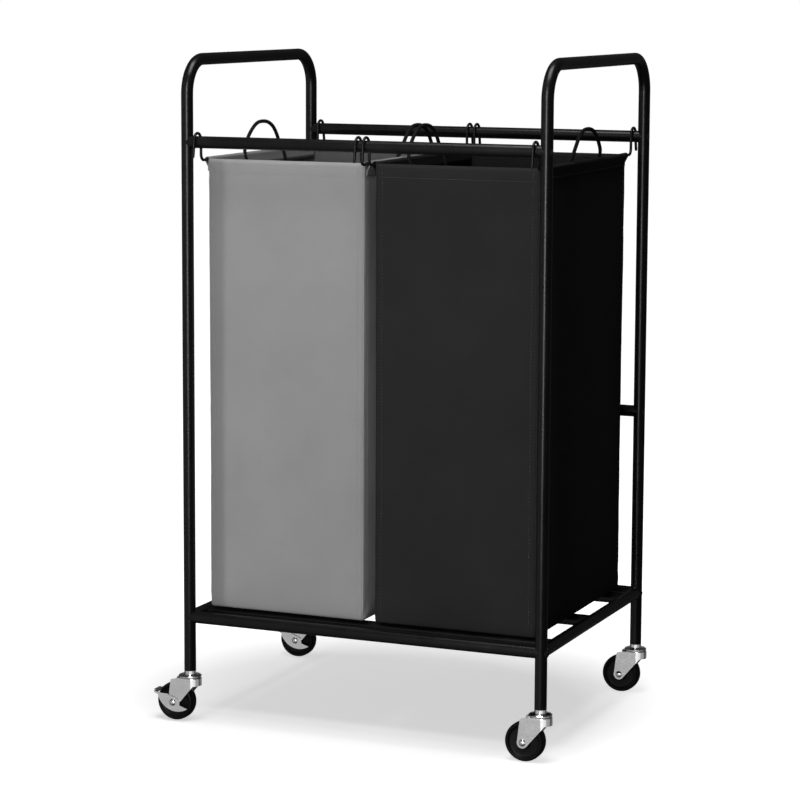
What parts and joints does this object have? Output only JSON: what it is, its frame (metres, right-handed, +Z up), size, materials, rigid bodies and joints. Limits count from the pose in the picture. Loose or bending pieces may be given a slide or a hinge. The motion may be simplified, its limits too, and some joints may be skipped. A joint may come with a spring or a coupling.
{
  "type": "laundry sorter on wheels",
  "caption": "Rolling tube-frame laundry sorter: open-topped fabric bags hang by wire hooks from the top rails, between raised push handles, on swivel casters.",
  "frame": {"origin": "centre of the frame's footprint (midway between the four post axes), on the floor", "axes": "+Z up, +X towards the right-hand handle, +Y towards the side with the cross bar (the rear)"},
  "size_m": [0.571, 0.4282, 0.901],
  "materials": {
    "black_powder_coat": "satin",
    "zinc_steel": "zinc plated",
    "bright_plated_steel": "satin plated",
    "wheel_rubber": "moulded",
    "black_plastic": "moulded",
    "grey_fabric": "woven",
    "black_fabric": "woven",
    "black_wire": "satin",
    "black_webbing": "woven tape"
  },
  "bodies": {
    "frame": {"left_side_frame": "black_powder_coat", "right_side_frame": "black_powder_coat", "left_bottom_rail": "black_powder_coat", "right_bottom_rail": "black_powder_coat", "front_top_rail": "black_powder_coat", "rear_top_rail": "black_powder_coat", "front_bottom_rail": "black_powder_coat", "rear_bottom_rail": "black_powder_coat", "rear_cross_bar": "black_powder_coat", "front_slat": "black_powder_coat", "middle_slat": "black_powder_coat", "rear_slat": "black_powder_coat", "rail_inserts": "zinc_steel", "rail_bolts": "zinc_steel", "hole_plugs": "black_plastic", "stem_sockets": "black_plastic", "front_left_stem": "zinc_steel", "front_left_race_cover": "bright_plated_steel", "front_right_stem": "zinc_steel", "front_right_race_cover": "bright_plated_steel", "rear_left_stem": "zinc_steel", "rear_left_race_cover": "bright_plated_steel", "rear_right_stem": "zinc_steel", "rear_right_race_cover": "bright_plated_steel"},
    "front_left_swivel": {"front_left_fork": "bright_plated_steel", "front_left_race_balls": "zinc_steel", "front_left_axle": "zinc_steel", "front_left_axle_sleeve": "zinc_steel"},
    "front_left_wheel": {"front_left_wheel": "wheel_rubber"},
    "front_left_brake": {"front_left_brake": "bright_plated_steel"},
    "front_right_swivel": {"front_right_fork": "bright_plated_steel", "front_right_race_balls": "zinc_steel", "front_right_axle": "zinc_steel", "front_right_axle_sleeve": "zinc_steel"},
    "front_right_wheel": {"front_right_wheel": "wheel_rubber"},
    "rear_left_swivel": {"rear_left_fork": "bright_plated_steel", "rear_left_race_balls": "zinc_steel", "rear_left_axle": "zinc_steel", "rear_left_axle_sleeve": "zinc_steel"},
    "rear_left_wheel": {"rear_left_wheel": "wheel_rubber"},
    "rear_left_brake": {"rear_left_brake": "bright_plated_steel"},
    "rear_right_swivel": {"rear_right_fork": "bright_plated_steel", "rear_right_race_balls": "zinc_steel", "rear_right_axle": "zinc_steel", "rear_right_axle_sleeve": "zinc_steel"},
    "rear_right_wheel": {"rear_right_wheel": "wheel_rubber"},
    "grey_bag": {"grey_bag": "grey_fabric", "grey_bag_left_hanger": "black_wire", "grey_bag_right_hanger": "black_wire", "grey_bag_left_loop": "black_webbing", "grey_bag_right_loop": "black_webbing"},
    "black_bag": {"black_bag": "black_fabric", "black_bag_left_hanger": "black_wire", "black_bag_right_hanger": "black_wire", "black_bag_left_loop": "black_webbing", "black_bag_right_loop": "black_webbing"}
  },
  "joints": [
    {"name": "front_left_swivel", "type": "hinge", "parent": "frame", "child": "front_left_swivel", "pos_m": [-0.252, -0.197, 0.06], "axis": [0, 0, 1], "continuous": true},
    {"name": "front_left_roll", "type": "hinge", "parent": "front_left_swivel", "child": "front_left_wheel", "pos_m": [-0.272, -0.197, 0.0263], "axis": [0, 1, 0], "continuous": true},
    {"name": "front_left_brake", "type": "hinge", "parent": "front_left_swivel", "child": "front_left_brake", "pos_m": [-0.272, -0.197, 0.0263], "axis": [0, -1, 0], "range_deg": [0, 18]},
    {"name": "front_right_swivel", "type": "hinge", "parent": "frame", "child": "front_right_swivel", "pos_m": [0.252, -0.197, 0.06], "axis": [0, 0, 1], "continuous": true},
    {"name": "front_right_roll", "type": "hinge", "parent": "front_right_swivel", "child": "front_right_wheel", "pos_m": [0.232, -0.197, 0.0263], "axis": [0, 1, 0], "continuous": true},
    {"name": "rear_left_swivel", "type": "hinge", "parent": "frame", "child": "rear_left_swivel", "pos_m": [-0.252, 0.197, 0.06], "axis": [0, 0, 1], "continuous": true},
    {"name": "rear_left_roll", "type": "hinge", "parent": "rear_left_swivel", "child": "rear_left_wheel", "pos_m": [-0.272, 0.197, 0.0263], "axis": [0, 1, 0], "continuous": true},
    {"name": "rear_left_brake", "type": "hinge", "parent": "rear_left_swivel", "child": "rear_left_brake", "pos_m": [-0.272, 0.197, 0.0263], "axis": [0, -1, 0], "range_deg": [0, 18]},
    {"name": "rear_right_swivel", "type": "hinge", "parent": "frame", "child": "rear_right_swivel", "pos_m": [0.252, 0.197, 0.06], "axis": [0, 0, 1], "continuous": true},
    {"name": "rear_right_roll", "type": "hinge", "parent": "rear_right_swivel", "child": "rear_right_wheel", "pos_m": [0.232, 0.197, 0.0263], "axis": [0, 1, 0], "continuous": true},
    {"name": "grey_bag_lift", "type": "slide", "parent": "frame", "child": "grey_bag", "axis": [0, 0, 1], "range_m": [0, 0.75]},
    {"name": "black_bag_lift", "type": "slide", "parent": "frame", "child": "black_bag", "axis": [0, 0, 1], "range_m": [0, 0.75]}
  ]
}
